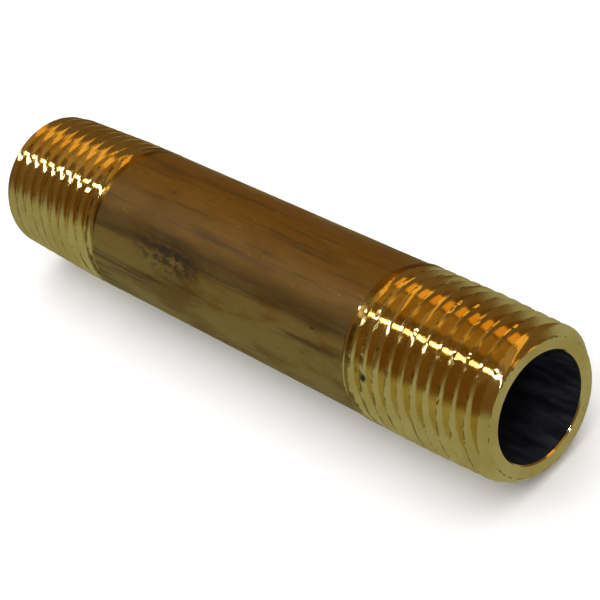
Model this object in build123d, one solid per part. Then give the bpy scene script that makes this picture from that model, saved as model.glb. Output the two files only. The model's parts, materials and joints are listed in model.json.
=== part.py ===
from build123d import *
import os
from math import cos, pi, radians, sin, tan

os.makedirs("parts", exist_ok=True)

# A brass pipe nipple: one length of pipe with a taper pipe thread cut on each end.
# X is the pipe's axis, +Z is up, and the origin is on the axis at mid-length.
# The front end is at +X and the rear end at -X. Every length is in millimetres.

# The pipe: nominal 1/4 inch, cut 2-1/2 inches long
pipe_length = 63.5
pipe_radius = 13.716 / 2
bore_radius = 4.8
bore_edge_break = 0.12

# The thread form on both ends: 18 turns to the inch, 60 degree V, 1 in 16 on the diameter
pitch = 25.4 / 18
radius_taper = 1 / 32
flank_half_angle = 30
thread_depth = 0.95
root_width = 0.12

# The groove cutter stands this far above the crests, and its sides are upright there
cutter_shoulder = 0.04
cutter_height = 0.5

# Each groove starts this many turns outside the end face
lead_in_turns = 1
points_per_turn = 24

# The last crest, thrown up a little proud of the pipe, steps down to it over this length
crest_step_length = 0.3


# Lengths below are measured inwards from the end face, and the groove offset is the place
# of a groove's middle on the +Y side.
class ThreadedEnd:
    def __init__(self, side, face_radius, crest_radius, raised_radius,
                 crest_length, full_depth_length, run_out_length, run_out_rise, groove_offset):
        self.side = side
        self.face_radius = face_radius
        self.crest_radius = crest_radius
        self.raised_radius = raised_radius
        self.crest_length = crest_length
        self.full_depth_length = full_depth_length
        self.run_out_length = run_out_length
        self.run_out_rise = run_out_rise
        self.groove_offset = groove_offset

    def along(self, inwards):
        return self.side * (pipe_length / 2 - inwards)

    def outline(self):
        """Half-profile from the end face to the plain barrel, as (x, radius) points."""
        chamfer = (self.crest_radius - self.face_radius) / (1 - radius_taper)
        cone_end = (self.raised_radius - self.crest_radius) / radius_taper
        steps = [
            (0, bore_radius + bore_edge_break),
            (0, self.face_radius),
            (chamfer, self.face_radius + chamfer),
            (cone_end, self.raised_radius),
            (self.crest_length, self.raised_radius),
            (self.crest_length + crest_step_length, pipe_radius),
        ]
        return [(self.along(inwards), radius) for inwards, radius in steps]

    def root_radius(self, inwards):
        """Radius of the groove's bottom: a cone, which lifts out of the pipe in the run-out."""
        run_out = max(0, inwards - self.full_depth_length) / self.run_out_length
        lift = self.run_out_rise * run_out**1.5
        return self.crest_radius - thread_depth + inwards * radius_taper + lift

    def groove_point(self, turn, across, above_root):
        """A point of the groove section, carried round the right-hand helix by turn."""
        inwards = self.groove_offset + pitch * turn
        radius = self.root_radius(inwards) + above_root
        angle = -self.side * 2 * pi * turn
        return Vector(self.along(inwards + across), radius * cos(angle), radius * sin(angle))

    def groove_curve(self, first_turn, across, above_root):
        """One turn of the helix that a corner of the groove section follows."""
        turns = [first_turn + step / points_per_turn for step in range(points_per_turn + 1)]
        points = [self.groove_point(turn, across, above_root) for turn in turns]
        return Edge.make_spline(points)

    def groove(self):
        """The solid that the die cuts away, built turn by turn from ruled faces."""
        last_length = self.full_depth_length + self.run_out_length - self.groove_offset
        last_turn = int(last_length / pitch) + 1
        faces = []
        for turn in range(-lead_in_turns, last_turn):
            curves = [self.groove_curve(turn, *corner) for corner in groove_section()]
            for curve, next_curve in zip(curves, curves[1:] + curves[:1]):
                faces.append(Face.make_surface_from_curves(curve, next_curve))
        for turn in (-lead_in_turns, last_turn):
            corners = [self.groove_point(turn, *corner) for corner in groove_section()]
            faces.append(Face(Wire.make_polygon(corners, close=True)))
        return Solid(Shell(faces))


def groove_section():
    """Corners of the V groove: (distance along the pipe, height above the root)."""
    shoulder = thread_depth + cutter_shoulder
    top = thread_depth + cutter_height
    half_root = root_width / 2
    half_top = half_root + shoulder * tan(radians(flank_half_angle))
    return [
        (-half_root, 0),
        (-half_top, shoulder),
        (-half_top, top),
        (half_top, top),
        (half_top, shoulder),
        (half_root, 0),
    ]


front = ThreadedEnd(side=1, face_radius=5.95, crest_radius=6.74, raised_radius=6.98,
                    crest_length=15.2, full_depth_length=13.9, run_out_length=1.9,
                    run_out_rise=0.8, groove_offset=0.35)
rear = ThreadedEnd(side=-1, face_radius=6.05, crest_radius=6.56, raised_radius=6.89,
                   crest_length=14.4, full_depth_length=12.6, run_out_length=1.9,
                   run_out_rise=0.8, groove_offset=0.76)


def pipe_blank():
    """The pipe turned to the outline of the crests, with its chamfers and its bore."""
    half_length = pipe_length / 2
    inner_edge = half_length - bore_edge_break
    outside = front.outline() + list(reversed(rear.outline()))
    inside = [(-inner_edge, bore_radius), (inner_edge, bore_radius)]
    profile = Plane.XZ * Polyline(*outside, *inside, close=True)
    return revolve(make_face(profile), Axis.X)


nipple_body = pipe_blank() - front.groove() - rear.groove()
nipple_body.label = "nipple_body"
export_step(nipple_body, "parts/nipple_body.step")
print("volume", nipple_body.volume, "valid", nipple_body.is_valid, "solids", len(nipple_body.solids()))
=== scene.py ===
import json
import math

import bmesh
import bpy
from mathutils import Matrix, Vector, noise


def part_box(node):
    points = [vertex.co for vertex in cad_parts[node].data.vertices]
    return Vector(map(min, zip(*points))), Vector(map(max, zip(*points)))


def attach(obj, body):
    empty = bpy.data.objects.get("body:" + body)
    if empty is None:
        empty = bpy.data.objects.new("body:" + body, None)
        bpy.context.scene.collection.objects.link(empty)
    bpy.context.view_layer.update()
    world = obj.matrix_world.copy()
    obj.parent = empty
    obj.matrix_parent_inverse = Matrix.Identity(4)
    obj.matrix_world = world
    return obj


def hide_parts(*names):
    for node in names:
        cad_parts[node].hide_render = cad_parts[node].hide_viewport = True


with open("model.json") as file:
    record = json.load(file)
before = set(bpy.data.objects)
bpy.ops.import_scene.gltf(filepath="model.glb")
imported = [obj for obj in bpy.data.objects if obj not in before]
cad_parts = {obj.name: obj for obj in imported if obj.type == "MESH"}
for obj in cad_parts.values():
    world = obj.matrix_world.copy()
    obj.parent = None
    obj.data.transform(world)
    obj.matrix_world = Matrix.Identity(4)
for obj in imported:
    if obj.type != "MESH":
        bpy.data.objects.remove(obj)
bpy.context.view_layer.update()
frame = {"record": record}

# A brass pipe nipple on a pale table. Lengths are in metres. X is the pipe's axis, the front
# end is at +X, and distances called inwards are measured from an end face towards the middle.

NODE = "nipple_body"
MM = 0.001
low_corner, high_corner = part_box(NODE)
mounts = {mount["name"]: mount for mount in frame["record"]["mounts"]}

HALF_LENGTH = high_corner[0]
PIPE_RADIUS = mounts["barrel_grip"]["pos_m"][2]
BORE_RADIUS = mounts["through_bore"]["dims"]["r_mm"] * MM
EDGE_BREAK = HALF_LENGTH - mounts["through_bore"]["dims"]["length_mm"] * MM / 2

# Thread form, the same as the CAD part's
PITCH = 25.4 / 18 * MM
TAPER = 1 / 32
THREAD_DEPTH = 0.95 * MM
ROOT_HALF_WIDTH = 0.06 * MM
FLANK_SLOPE = 1 / math.tan(math.radians(30))
RUN_OUT_POWER = 1.5
STEP_LENGTH = 0.3 * MM
LAST_CREST_WIDTH = 0.5 * MM

# Tearing of the crests by the die: wear everywhere, and chips where two noises add up
TEAR_SIZE = 2.2 * MM
CHIP_SIZE = 0.45 * MM
TEAR_WEIGHT = 0.6
CHIP_WEIGHT = 0.8
CHIP_THRESHOLD = 0.25
WEAR_DEPTH = 0.02 * MM
CHIP_DEPTH = 0.16 * MM
TEAR_FADE_IN = 1.5 * MM
TEAR_FADE_OUT = 0.6 * MM

# Shallow dents in the barrel, fading out over a twelfth of its length at each end
DENT_SIZE = 3.5 * MM
DENT_THRESHOLD = 0.35
DENT_DEPTH = 0.06 * MM
DENT_FADE = 12

# Share of old skin left on the crests, plus painted shade on the crests' far edges, on the thread's
# underside and round the end face's outer edge
CREST_SKIN = 0.38
FAR_EDGE_PAINTED_SHADE = 0.12
INWARD_SKIN = 0.08
UNDERSIDE_PAINTED_SHADE = 0.12
RING_EDGE_PAINTED_SHADE = 0.7

# Mesh density, and the turns of groove that start outside each end of the thread
ROWS = 224
CHAMFER_COLUMNS = 15
BARREL_COLUMNS = 24
RING_COLUMNS = 8
BORE_COLUMNS = 12
LEAD_IN_TURNS = 2
# Stations across one groove, as distances from its middle towards the next one
STATIONS = [d * MM for d in (0, 0.06, 0.22, 0.38, 0.49, 0.56, 0.61)]
STATIONS += [PITCH / 2] + [PITCH - d for d in reversed(STATIONS[1:])]
MERGE_DISTANCE = 0.002 * MM
SHARP_ANGLE = math.radians(32)

# The mesh's material slots
CUT, SKIN, BORE, FACE = range(4)


class ThreadedEnd:
    """One end's sizes. side is +1 at the front and -1 at the rear."""

    def __init__(self, side, face_radius, crest_radius, raised_radius, crest_length,
                 full_depth_length, run_out_length, run_out_rise, groove_offset, tearing):
        self.side = side
        self.face_radius = face_radius * MM
        self.crest_radius = crest_radius * MM
        self.raised_radius = raised_radius * MM
        self.crest_length = crest_length * MM
        self.full_depth_length = full_depth_length * MM
        self.run_out_length = run_out_length * MM
        self.run_out_rise = run_out_rise * MM
        self.groove_offset = groove_offset * MM
        self.tearing = tearing
        self.zone_length = self.crest_length + STEP_LENGTH

    def chamfer_length(self):
        return (self.crest_radius - self.face_radius) / (1 - TAPER)

    def along(self, inwards):
        return self.side * (HALF_LENGTH - inwards)

    def envelope(self, inwards):
        """Radius of the crests: chamfer, cone, raised crests, then the step to the barrel."""
        crest = min(self.crest_radius + inwards * TAPER, self.raised_radius)
        step = (inwards - self.crest_length) / STEP_LENGTH
        step = min(max(step, 0), 1)
        crest += (PIPE_RADIUS - self.raised_radius) * step
        return min(crest, self.face_radius + inwards)

    def groove_middle(self, turn, angle):
        return self.groove_offset + PITCH * (turn - self.side * angle / math.tau)

    def root_radius(self, inwards):
        run_out = max(0, inwards - self.full_depth_length) / self.run_out_length
        lift = self.run_out_rise * run_out**RUN_OUT_POWER
        return self.crest_radius - THREAD_DEPTH + inwards * TAPER + lift

    def surface(self, inwards, angle):
        """(radius, share of old skin left plus painted shade) of the threaded surface at a place."""
        turns = (inwards - self.groove_middle(0, angle)) / PITCH
        middle = self.groove_middle(round(turns), angle)
        offset = abs(inwards - middle)
        envelope = self.envelope(inwards)
        point = Vector((self.along(inwards), math.cos(angle) * envelope, math.sin(angle) * envelope))
        groove = self.root_radius(middle) + max(0, offset - ROOT_HALF_WIDTH) * FLANK_SLOPE
        crest = envelope - self.tear(point, inwards)
        if groove < crest:
            return groove, 0.0
        return crest, self.skin_and_shade_left(inwards, inwards < middle, point.z)

    def skin_and_shade_left(self, inwards, on_far_edge, height):
        """The die leaves old skin on the crests, more of it inwards; painted shade is added on the
        crests' far edges, and more of it underneath.
        """
        if inwards > self.crest_length - LAST_CREST_WIDTH:
            return 1.0
        # Extra dark skin on the crests' far edges is painted shade from the groove behind each crest.
        edge = FAR_EDGE_PAINTED_SHADE if on_far_edge else 0.0
        deeper = INWARD_SKIN * inwards / self.crest_length
        # The underside term is painted shade: more dark skin low on the thread.
        return CREST_SKIN + edge + deeper - UNDERSIDE_PAINTED_SHADE * height / PIPE_RADIUS

    def tear(self, point, inwards):
        """How far the die has torn the crest down at a point."""
        coarse = noise.noise(point / TEAR_SIZE)
        fine = noise.noise(point / CHIP_SIZE)
        chip = max(0, coarse * TEAR_WEIGHT + fine * CHIP_WEIGHT - CHIP_THRESHOLD)
        depth = (WEAR_DEPTH + CHIP_DEPTH * chip) * self.tearing
        fade = min(1, inwards / TEAR_FADE_IN)
        past_thread = max(0, inwards - self.crest_length + LAST_CREST_WIDTH)
        return depth * fade * max(0, 1 - past_thread / TEAR_FADE_OUT)


front = ThreadedEnd(1, face_radius=5.95, crest_radius=6.74, raised_radius=6.98,
                    crest_length=15.2, full_depth_length=13.9, run_out_length=1.9,
                    run_out_rise=0.8, groove_offset=0.35, tearing=1.0)
rear = ThreadedEnd(-1, face_radius=6.05, crest_radius=6.56, raised_radius=6.89,
                   crest_length=14.4, full_depth_length=12.6, run_out_length=1.9,
                   run_out_rise=0.8, groove_offset=0.76, tearing=0.4)


class Shell:
    """Collects patches whose rows run round the axis, and joins them into one closed mesh."""

    def __init__(self):
        self.points = []
        self.skins_and_shades = []
        self.faces = []
        self.regions = []

    def patch(self, place, columns, region):
        """place(row angle, column) gives (x, radius, share of old skin plus painted shade). Rows run
        once round the axis.
        """
        start = len(self.points)
        for row in range(ROWS + 1):
            angle = math.tau * row / ROWS
            for column in range(columns):
                x, radius, skin_and_shade = place(angle, column)
                self.points.append((x, radius * math.cos(angle), radius * math.sin(angle)))
                self.skins_and_shades.append(skin_and_shade)
        for row in range(ROWS):
            for column in range(columns - 1):
                a = start + row * columns + column
                b = a + columns
                self.faces.append((a, a + 1, b + 1, b))
                self.regions.append(region)

    def build(self, name):
        mesh = bpy.data.meshes.new(name)
        mesh.from_pydata(self.points, [], self.faces)
        mesh.attributes.new("skin_and_shade", "FLOAT", "POINT").data.foreach_set("value", self.skins_and_shades)
        mesh.polygons.foreach_set("material_index", self.regions)
        work = bmesh.new()
        work.from_mesh(mesh)
        bmesh.ops.remove_doubles(work, verts=work.verts, dist=MERGE_DISTANCE)
        bmesh.ops.dissolve_degenerate(work, dist=MERGE_DISTANCE, edges=work.edges)
        bmesh.ops.recalc_face_normals(work, faces=work.faces)
        work.to_mesh(mesh)
        work.free()
        return mesh


def add_thread(shell, end):
    chamfer = end.chamfer_length()

    def on_chamfer(angle, column):
        inwards = chamfer * column / (CHAMFER_COLUMNS - 1)
        radius, _ = end.surface(inwards, angle)
        return end.along(inwards), radius, 0.0

    def on_thread(angle, column):
        turn, station = divmod(column, len(STATIONS))
        inwards = end.groove_middle(turn - LEAD_IN_TURNS, angle) + STATIONS[station]
        inwards = min(max(inwards, chamfer), end.zone_length)
        radius, skin_and_shade = end.surface(inwards, angle)
        return end.along(inwards), radius, skin_and_shade

    turns = math.ceil(end.zone_length / PITCH) + 2 * LEAD_IN_TURNS
    shell.patch(on_chamfer, CHAMFER_COLUMNS, FACE)
    shell.patch(on_thread, turns * len(STATIONS), CUT)


def add_end_face(shell, end):
    rim = BORE_RADIUS + EDGE_BREAK

    def on_ring(angle, column):
        outer, _ = end.surface(0, angle)
        share = column / (RING_COLUMNS - 1)
        # The outermost column of the end face gets a dark line of painted shade.
        ring_edge_shade = RING_EDGE_PAINTED_SHADE if share == 1 else 0.0
        return end.along(0), rim + (outer - rim) * share, ring_edge_shade

    def on_edge(angle, column):
        return end.along(EDGE_BREAK * column), rim - EDGE_BREAK * column, 0.0

    shell.patch(on_ring, RING_COLUMNS, FACE)
    shell.patch(on_edge, 2, FACE)


def add_barrel(shell):
    first = rear.along(rear.zone_length)
    last = front.along(front.zone_length)

    def on_barrel(angle, column):
        share = column / (BARREL_COLUMNS - 1)
        x = first + (last - first) * share
        point = Vector((x, PIPE_RADIUS * math.cos(angle), PIPE_RADIUS * math.sin(angle)))
        dent = max(0, noise.noise(point / DENT_SIZE) - DENT_THRESHOLD) * DENT_DEPTH
        fade = min(1, DENT_FADE * share, DENT_FADE * (1 - share))
        return x, PIPE_RADIUS - dent * fade, 1.0

    shell.patch(on_barrel, BARREL_COLUMNS, SKIN)


def add_bore(shell):
    half = HALF_LENGTH - EDGE_BREAK

    def on_bore(angle, column):
        share = column / (BORE_COLUMNS - 1)
        return half * (2 * share - 1), BORE_RADIUS, 0.0

    shell.patch(on_bore, BORE_COLUMNS, BORE)


# Materials. Colours are linear RGBA

PALE_BRASS = (0.88, 0.74, 0.36, 1)
DEEP_BRASS = (0.78, 0.60, 0.24, 1)
BROWN_STAIN = (0.34, 0.19, 0.05, 1)
BARREL_OLIVE = (0.47, 0.35, 0.115, 1)
BARREL_BROWN = (0.30, 0.165, 0.024, 1)
DRAW_STREAK = (0.12, 0.075, 0.025, 1)
GOLD_FLECK = (0.72, 0.53, 0.18, 1)
BLACK_SPOT = (0.05, 0.048, 0.05, 1)
# The bore's near-black colours are painted shade.
BORE_SHADE_BLACK = (0.006, 0.006, 0.009, 1)
BORE_SHADE_GREY = (0.022, 0.024, 0.030, 1)
BORE_GRIT = (0.10, 0.11, 0.13, 1)
PAPER_DARKER = (0.86, 0.86, 0.86, 1)
PAPER_PALER = (0.90, 0.90, 0.90, 1)

# Marks at chosen places, in millimetres along X and degrees of turn about it
PIT_PLACES = (18.1, 18.8)
PIT_TURN = 156
BAND_TURN = 130
BLOTCH_PLACE = -6.5
BLOTCH_TURN = 139


class Shader:
    """A few shorthands for making node materials."""

    def __init__(self, name):
        self.material = bpy.data.materials.new(name)
        self.material.use_nodes = True
        self.tree = self.material.node_tree
        self.bsdf = self.tree.nodes["Principled BSDF"]
        self.place = self.node("ShaderNodeTexCoord").outputs["Object"]

    def node(self, kind, **settings):
        node = self.tree.nodes.new(kind)
        for key, value in settings.items():
            setattr(node, key, value)
        return node

    def put(self, socket, value):
        if isinstance(value, bpy.types.NodeSocket):
            self.tree.links.new(value, socket)
        else:
            socket.default_value = value

    def stretched(self, scale, offset=(0, 0, 0)):
        """Object coordinates in millimetres times scale."""
        mapping = self.node("ShaderNodeMapping")
        self.put(mapping.inputs["Vector"], self.place)
        mapping.inputs["Scale"].default_value = [s / MM for s in scale]
        mapping.inputs["Location"].default_value = offset
        return mapping.outputs["Vector"]

    def noise(self, scale, detail=4, roughness=0.55, offset=(0, 0, 0)):
        """Noise from 0 to 1. scale is in cycles per millimetre along X, Y and Z."""
        texture = self.node("ShaderNodeTexNoise")
        self.put(texture.inputs["Vector"], self.stretched(scale, offset))
        texture.inputs["Scale"].default_value = 1
        texture.inputs["Detail"].default_value = detail
        texture.inputs["Roughness"].default_value = roughness
        return texture.outputs["Fac"]

    def near(self, center, reach):
        """1 at a place on the pipe, falling to 0 at reach, all in millimetres. No reach: all along."""
        scale = [1 / r if r else 0 for r in reach]
        offset = [-c * s for c, s in zip(center, scale)]
        length = self.node("ShaderNodeVectorMath", operation="LENGTH")
        self.put(length.inputs[0], self.stretched(scale, offset))
        return self.ramp(length.outputs["Value"], 1.0, 0.3)

    def ramp(self, value, low, high, out_low=0.0, out_high=1.0):
        node = self.node("ShaderNodeMapRange", interpolation_type="SMOOTHSTEP")
        for key, number in (("Value", value), ("From Min", low), ("From Max", high),
                            ("To Min", out_low), ("To Max", out_high)):
            self.put(node.inputs[key], number)
        return node.outputs["Result"]

    def math(self, operation, first, second=0.0):
        node = self.node("ShaderNodeMath", operation=operation)
        self.put(node.inputs[0], first)
        self.put(node.inputs[1], second)
        return node.outputs["Value"]

    def mix(self, factor, first, second):
        node = self.node("ShaderNodeMix", data_type="RGBA")
        self.put(node.inputs["Factor"], factor)
        self.put(node.inputs[6], first)
        self.put(node.inputs[7], second)
        return node.outputs[2]

    def bump(self, height, distance, strength=1.0, normal=None):
        node = self.node("ShaderNodeBump")
        self.put(node.inputs["Height"], height)
        node.inputs["Distance"].default_value = distance
        node.inputs["Strength"].default_value = strength
        if normal:
            self.put(node.inputs["Normal"], normal)
        return node.outputs["Normal"]

    def around_axis(self):
        """The direction round the pipe, which turned tool marks follow."""
        return self.node("ShaderNodeTangent", direction_type="RADIAL", axis="X").outputs["Tangent"]

    def finish(self, color, roughness, normal=None, **values):
        self.put(self.bsdf.inputs["Base Color"], color)
        self.put(self.bsdf.inputs["Roughness"], roughness)
        if normal:
            self.put(self.bsdf.inputs["Normal"], normal)
        for key, value in values.items():
            self.put(self.bsdf.inputs[key.replace("_", " ")], value)
        return self.material


def on_pipe(x, turn):
    """A place on the pipe's surface in millimetres, turned about X from +Y towards +Z."""
    radius = PIPE_RADIUS / MM
    return x, radius * math.cos(math.radians(turn)), radius * math.sin(math.radians(turn))


def patina_and_painted_warmth(shader):
    """The drawn pipe's own skin: olive and brown in clouds, with a painted warm reflection browning
    the top, and streaks, flecks and spots.
    """
    cloud = shader.noise((0.10, 0.28, 0.28), detail=6, roughness=0.6)
    # Browner towards the top: a painted warm reflection.
    painted_warm_top = shader.math("MULTIPLY", shader.near(on_pipe(0, 90), (0, 9, 9)), 0.8)
    olive = shader.math("SUBTRACT", shader.ramp(cloud, 0.34, 0.58, 0.2, 1.0), painted_warm_top)
    color = shader.mix(shader.ramp(olive, 0.0, 1.0), BARREL_BROWN, BARREL_OLIVE)
    streak = shader.noise((0.07, 1.3, 1.3), detail=5, roughness=0.6)
    color = shader.mix(shader.ramp(streak, 0.50, 0.68, 0.0, 0.65), color, DRAW_STREAK)
    fleck = shader.noise((1.1, 1.8, 1.8), detail=5, roughness=0.75, offset=(7, 3, 1))
    color = shader.mix(shader.ramp(fleck, 0.60, 0.72, 0.0, 0.4), color, GOLD_FLECK)
    spot = shader.noise((0.33, 0.5, 0.5), detail=6, roughness=0.7, offset=(2, 9, 5))
    color = shader.mix(shader.ramp(spot, 0.62, 0.72, 0.0, 0.85), color, BLACK_SPOT)
    band = shader.near(on_pipe(0, BAND_TURN), (0, 1.5, 1.5))
    color = shader.mix(shader.math("MULTIPLY", band, 0.45), color, DRAW_STREAK)
    blotch = shader.near(on_pipe(BLOTCH_PLACE, BLOTCH_TURN), (6.5, 2.2, 2.2))
    blotch = shader.math("MULTIPLY", blotch, shader.ramp(fleck, 0.46, 0.54))
    return shader.mix(shader.math("MULTIPLY", blotch, 0.75), color, BLACK_SPOT)


def cut_brass(name):
    """Brass as the die and the facing tool leave it, with broken old skin on the crests and painted
    shade carried in the same skin share.
    """
    shader = Shader(name)
    cloud = shader.noise((0.25, 0.25, 0.25), detail=5)
    color = shader.mix(shader.ramp(cloud, 0.35, 0.65), DEEP_BRASS, PALE_BRASS)
    speck = shader.noise((1.6, 1.6, 1.6), detail=6, roughness=0.7)
    color = shader.mix(shader.ramp(speck, 0.58, 0.74, 0.0, 0.5), color, BROWN_STAIN)
    # This share holds old skin and painted shade together.
    left = shader.node("ShaderNodeAttribute", attribute_name="skin_and_shade").outputs["Fac"]
    ragged = shader.math("ADD", left, shader.noise((0.9, 1.1, 1.1), detail=4, roughness=0.65))
    skin_and_shade = shader.ramp(ragged, 0.90, 1.02)
    color = shader.mix(skin_and_shade, color, patina_and_painted_warmth(shader))
    for x in PIT_PLACES:
        pit = shader.near(on_pipe(x, PIT_TURN), (0.32, 0.35, 0.6))
        color = shader.mix(pit, color, BLACK_SPOT)
    marks = shader.noise((3.5, 0.10, 0.10), detail=4, roughness=0.7)
    grain = shader.noise((5, 5, 5), detail=3)
    bright = shader.ramp(marks, 0.3, 0.7, 0.08, 0.13)
    roughness = shader.math("ADD", bright, shader.math("MULTIPLY", skin_and_shade, 0.28))
    normal = shader.bump(marks, 0.007 * MM)
    normal = shader.bump(grain, 0.004 * MM, normal=normal)
    return shader.finish(color, roughness, normal, Metallic=1.0, Anisotropic=0.75,
                         Anisotropic_Rotation=0.25, Tangent=shader.around_axis())


def barrel_skin():
    """The drawn pipe between the threads, dull and finely lined along its length."""
    shader = Shader("barrel_patina_and_painted_warmth")
    lines = shader.noise((0.5, 9, 9), detail=3)
    pits = shader.noise((3, 3, 3), detail=4, roughness=0.7)
    wear = shader.noise((0.2, 0.4, 0.4), detail=5)
    normal = shader.bump(lines, 0.006 * MM)
    normal = shader.bump(pits, 0.010 * MM, normal=normal)
    roughness = shader.ramp(wear, 0.3, 0.7, 0.70, 0.84)
    return shader.finish(patina_and_painted_warmth(shader), roughness, normal, Metallic=1.0,
                         Coat_Weight=0.45, Coat_Roughness=0.5)


def bore_shade_paint():
    """The unlit inside of the pipe: near-black painted shade with faint lines along it."""
    shader = Shader("bore_painted_shade")
    cloud = shader.noise((0.2, 0.9, 0.9), detail=6, roughness=0.65)
    # Near-black colours are painted shade for the unlit bore.
    color = shader.mix(shader.ramp(cloud, 0.4, 0.7), BORE_SHADE_BLACK, BORE_SHADE_GREY)
    grit = shader.noise((3, 6, 6), detail=5, roughness=0.7)
    color = shader.mix(shader.ramp(grit, 0.66, 0.76, 0.0, 0.4), color, BORE_GRIT)
    normal = shader.bump(grit, 0.02 * MM)
    return shader.finish(color, shader.ramp(cloud, 0.3, 0.7, 0.40, 0.60), normal, Metallic=0.0)


def floor_paint():
    """Matt white paper."""
    shader = Shader("floor_paper")
    fibre = shader.noise((0.3, 0.3, 0.3), detail=6)
    color = shader.mix(fibre, PAPER_DARKER, PAPER_PALER)
    normal = shader.bump(fibre, 0.02 * MM, strength=0.3)
    return shader.finish(color, shader.ramp(fibre, 0.3, 0.7, 0.75, 0.85), normal)


def make_nipple():
    shell = Shell()
    for end in (front, rear):
        add_thread(shell, end)
        add_end_face(shell, end)
    add_barrel(shell)
    add_bore(shell)
    mesh = shell.build("pipe_nipple")
    mesh.materials.append(cut_brass("thread_brass"))
    mesh.materials.append(barrel_skin())
    mesh.materials.append(bore_shade_paint())
    mesh.materials.append(cut_brass("face_brass"))
    mesh.shade_smooth()
    mesh.set_sharp_from_angle(angle=SHARP_ANGLE)
    piece = bpy.data.objects.new("pipe_nipple", mesh)
    bpy.context.scene.collection.objects.link(piece)
    return piece


nipple = make_nipple()
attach(nipple, "root")
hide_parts(NODE)

# Stage

FLOOR_REACH = 3.0
CORNERS = ((-1, -1), (1, -1), (1, 1), (-1, 1))


def make_floor():
    mesh = bpy.data.meshes.new("floor")
    corners = [(x * FLOOR_REACH, y * FLOOR_REACH, low_corner[2]) for x, y in CORNERS]
    mesh.from_pydata(corners, [], [(0, 1, 2, 3)])
    mesh.materials.append(floor_paint())
    floor = bpy.data.objects.new("floor", mesh)
    bpy.context.scene.collection.objects.link(floor)
    return floor


# The floor is kept out of the brass's reflections, which see the world below instead
floor = make_floor()
floor.visible_glossy = False


# Lights

X_AXIS = Vector((1, 0, 0))


def aim(thing, place, target, up=Vector((0, 0, 1))):
    """Stands a camera or light at place with its -Z axis at target and its Y axis towards up."""
    back = (Vector(place) - Vector(target)).normalized()
    right = Vector(up).cross(back).normalized()
    matrix = Matrix((right, back.cross(right), back)).transposed().to_4x4()
    matrix.translation = place
    thing.matrix_world = matrix


def area_light(name, place, size, power, color, target=(0, 0, 0), up=Vector((0, 0, 1))):
    """A rectangular light. size is across and along its up direction."""
    data = bpy.data.lights.new(name, "AREA")
    data.shape = "RECTANGLE"
    data.size, data.size_y = size
    data.energy = power
    data.color = color
    light = bpy.data.objects.new(name, data)
    bpy.context.scene.collection.objects.link(light)
    aim(light, place, target, up)
    return light


def strip_light(name, turn, distance, first_x, last_x, width, power, color):
    """A light parallel to the pipe, turned about X from +Y towards +Z by turn degrees."""
    turn = math.radians(turn)
    middle = Vector(((first_x + last_x) / 2, distance * math.cos(turn), distance * math.sin(turn)))
    card = area_light(name, middle, (width, last_x - first_x), power, color,
                      target=(middle.x, 0, 0), up=X_AXIS)
    card.visible_diffuse = False


strip_light("white_strip", 105, 0.30, -0.55, 1.30, 0.008, 1.4, (0.90, 0.96, 1))
strip_light("warm_card", 44, 0.40, -0.70, 1.00, 0.13, 0.55, (1.0, 0.50, 0.07))
strip_light("warm_fade", 72, 0.40, -0.70, 1.00, 0.22, 0.22, (1.0, 0.60, 0.16))
table_light = area_light("table_softbox", (-0.05, 0.05, 0.7), (1.6, 1.6), 17.0, (1, 1, 1), up=X_AXIS)
fill_light = area_light("table_fill", (0.4, -0.8, 0.35), (1.0, 0.6), 5.0, (1, 1, 1))
for light in (table_light, fill_light):
    light.visible_glossy = False

# World: reflections see a dim room, pale below a slightly tilted horizon and dark brown above it

PALE_BELOW = (0.325, 0.33, 0.215, 1)
DARK_ABOVE = (0.15, 0.085, 0.03, 1)
ROOM_UP = (0, 0.19, 1)
PALE_UP_TO = -0.15
DARK_FROM = 0.12


def make_world():
    world = bpy.data.worlds.new("dim_room")
    bpy.context.scene.world = world
    world.use_nodes = True
    tree = world.node_tree
    look = tree.nodes.new("ShaderNodeTexCoord")
    height = tree.nodes.new("ShaderNodeVectorMath")
    height.operation = "DOT_PRODUCT"
    height.inputs[1].default_value = ROOM_UP
    ramp = tree.nodes.new("ShaderNodeValToRGB")
    ramp.color_ramp.interpolation = "EASE"
    ramp.color_ramp.elements[0].color = PALE_BELOW
    ramp.color_ramp.elements[1].color = DARK_ABOVE
    shift = tree.nodes.new("ShaderNodeMapRange")
    shift.inputs["From Min"].default_value = PALE_UP_TO
    shift.inputs["From Max"].default_value = DARK_FROM
    tree.links.new(look.outputs["Generated"], height.inputs[0])
    tree.links.new(height.outputs["Value"], shift.inputs["Value"])
    tree.links.new(shift.outputs["Result"], ramp.inputs["Fac"])
    tree.links.new(ramp.outputs["Color"], tree.nodes["Background"].inputs["Color"])
    world.cycles_visibility.diffuse = False


make_world()
bpy.context.scene.view_settings.view_transform = "Standard"

# Camera: a long lens from the front end's side, tilted so that the pipe lies across the frame

SENSOR_WIDTH = 36
FOCAL_LENGTH = 123.3
CAMERA_PLACE = Vector((123.98, -67.56, 113.47)) * MM
CAMERA_LOOK = Vector((-0.6725, 0.3761, -0.6373))
CAMERA_UP = Vector((-0.3196, 0.6290, 0.7086))
NEAR_CLIP = 0.01

camera_data = bpy.data.cameras.new("camera")
camera_data.sensor_width = SENSOR_WIDTH
camera_data.lens = FOCAL_LENGTH
camera_data.clip_start = NEAR_CLIP
camera = bpy.data.objects.new("camera", camera_data)
bpy.context.scene.collection.objects.link(camera)
bpy.context.scene.camera = camera
aim(camera, CAMERA_PLACE, CAMERA_PLACE + CAMERA_LOOK, CAMERA_UP)
